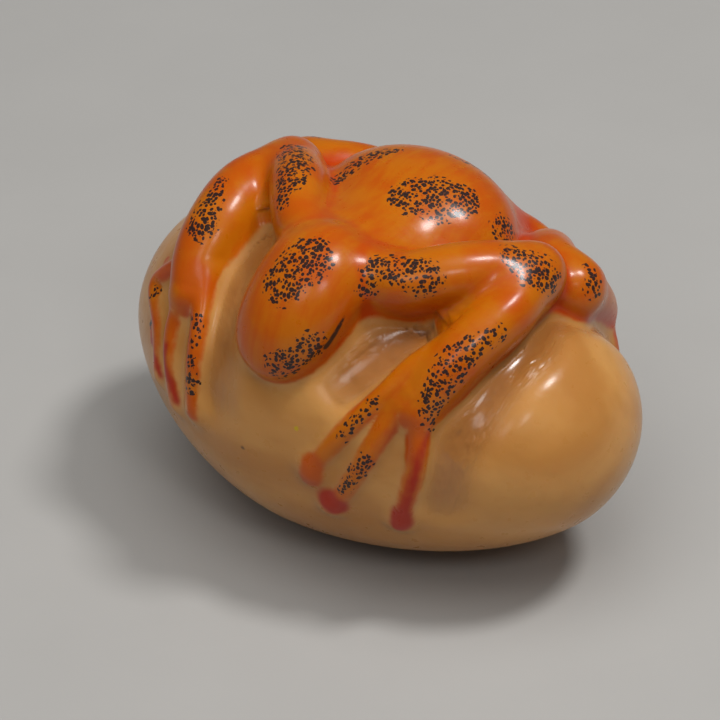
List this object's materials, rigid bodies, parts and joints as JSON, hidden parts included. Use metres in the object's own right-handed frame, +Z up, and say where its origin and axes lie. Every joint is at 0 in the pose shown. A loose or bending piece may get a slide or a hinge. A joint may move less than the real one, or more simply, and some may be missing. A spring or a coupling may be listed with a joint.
{
  "type": "carved nut ornament",
  "caption": "Small frog carved over an egg-shaped tagua nut, arms and legs hugging the smooth nut, which stands on a small flat.",
  "frame": {"origin": "middle of the small flat under the nut, below the middle of the frog", "axes": "+Z up, +X along the nut to the frog's left, the frog's head over the -Y side"},
  "size_m": [0.05, 0.0349, 0.0338],
  "materials": {
    "carved_nut": "polished and varnished, the frog stained orange with red edges and black ink dots"
  },
  "bodies": {
    "root": {"frog_on_nut": "carved_nut"}
  },
  "joints": []
}
